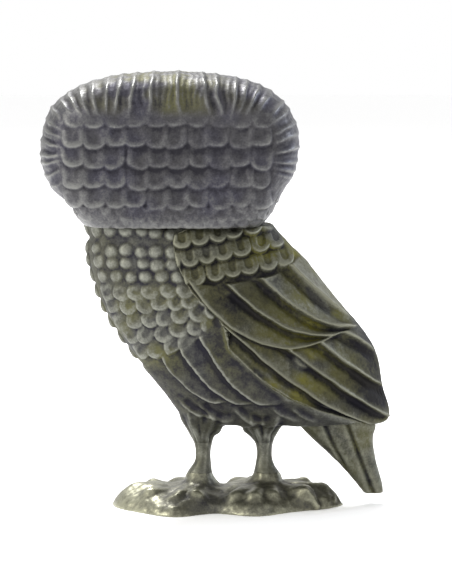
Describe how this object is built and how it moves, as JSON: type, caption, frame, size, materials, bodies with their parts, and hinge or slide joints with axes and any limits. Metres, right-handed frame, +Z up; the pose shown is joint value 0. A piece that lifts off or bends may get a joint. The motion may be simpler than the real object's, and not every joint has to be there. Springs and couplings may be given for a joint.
{
  "type": "owl figurine",
  "caption": "Cast metal owl standing on a lobed base, with its body in profile, its broad head turned to the side and feathers in relief.",
  "frame": {"origin": "middle of the flat underside of the base", "axes": "+Z up; the breast points along -X and the tail along +X; the turned head looks along +Y"},
  "size_m": [0.0689, 0.0312, 0.0861],
  "materials": {
    "head_casting": "antiqued cast pewter, dark in the hollows and pale on the ridges",
    "body_casting": "antiqued cast pewter with an olive tint in the hollows",
    "wing_casting": "antiqued cast pewter with an olive tint in the feather hollows",
    "tail_casting": "antiqued cast pewter",
    "leg_casting": "antiqued cast pewter",
    "base_casting": "antiqued cast pewter, rubbed paler on the toes",
    "eye_and_beak_casting": "antiqued cast pewter, burnished",
    "pin_brass": "drawn brass rod, bare"
  },
  "bodies": {
    "root": {"head_rear_shell": "head_casting", "face_mask": "head_casting", "left_eye": "eye_and_beak_casting", "right_eye": "eye_and_beak_casting", "beak": "eye_and_beak_casting", "neck_plug": "body_casting", "body_near_half": "body_casting", "body_far_half": "body_casting", "near_wing": "wing_casting", "far_wing": "wing_casting", "tail": "tail_casting", "front_leg": "leg_casting", "rear_leg": "leg_casting", "foot_base": "base_casting", "body_dowels": "pin_brass", "near_wing_pins": "pin_brass", "far_wing_pins": "pin_brass"}
  },
  "joints": []
}
